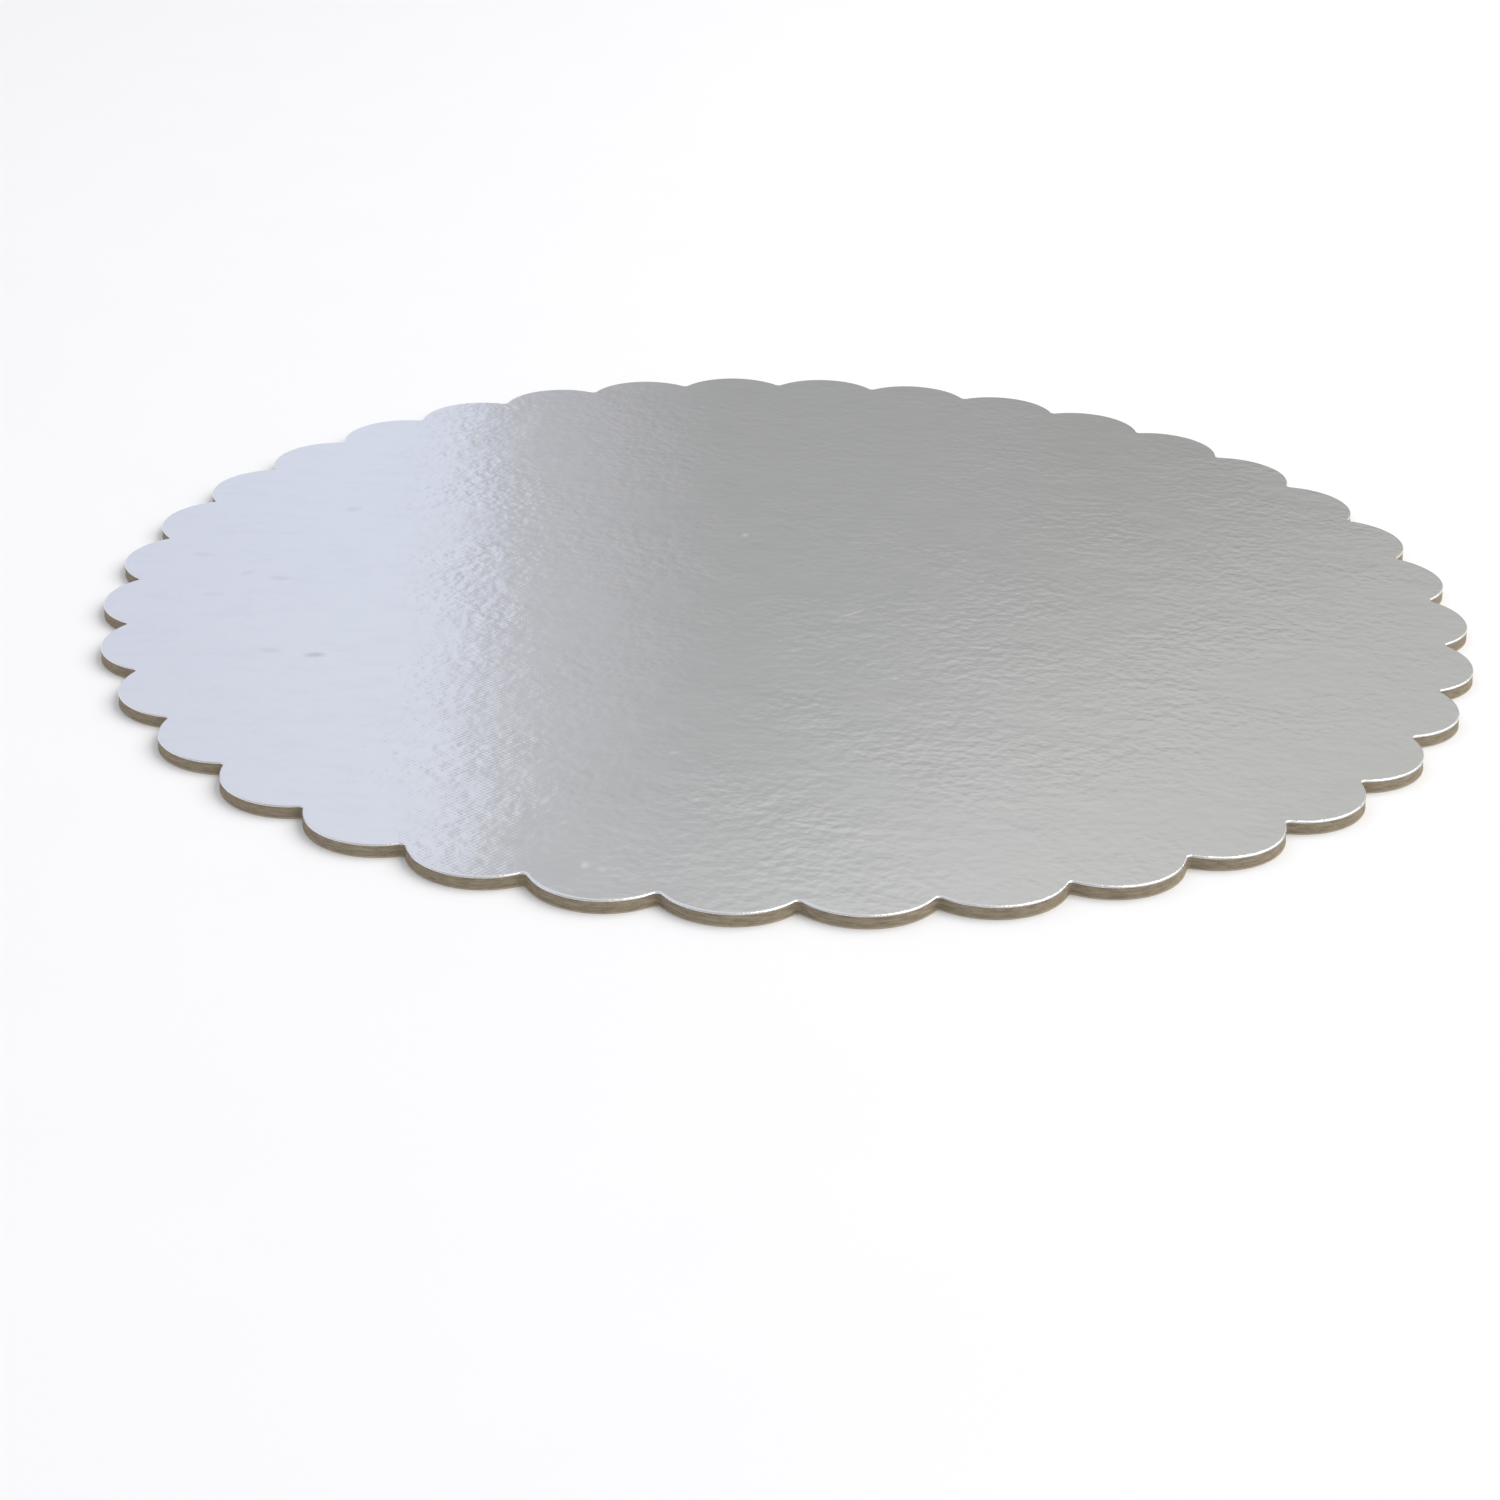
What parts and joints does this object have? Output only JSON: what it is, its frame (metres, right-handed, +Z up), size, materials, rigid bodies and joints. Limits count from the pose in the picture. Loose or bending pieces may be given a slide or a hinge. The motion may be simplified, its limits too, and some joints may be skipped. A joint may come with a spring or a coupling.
{
  "type": "cake board",
  "caption": "Thin round greyboard cake board with a scalloped die-cut edge, faced on top with bright silver foil that rolls over the upper edge, to carry and present a cake.",
  "frame": {"origin": "middle of the underside, on the surface that the board lies on", "axes": "+Z up, square to the board, from the bare underside to the foil face; +X through the tip of one scallop"},
  "size_m": [0.305, 0.305, 0.0028],
  "materials": {
    "greyboard": "die-cut recycled greyboard, pale brown-grey fibres in faint layers",
    "silver_foil": "bright silver foil laminate, mirror-like with a faint orange-peel waviness"
  },
  "bodies": {
    "root": {"board_core": "greyboard", "foil_facing": "silver_foil"}
  },
  "joints": []
}
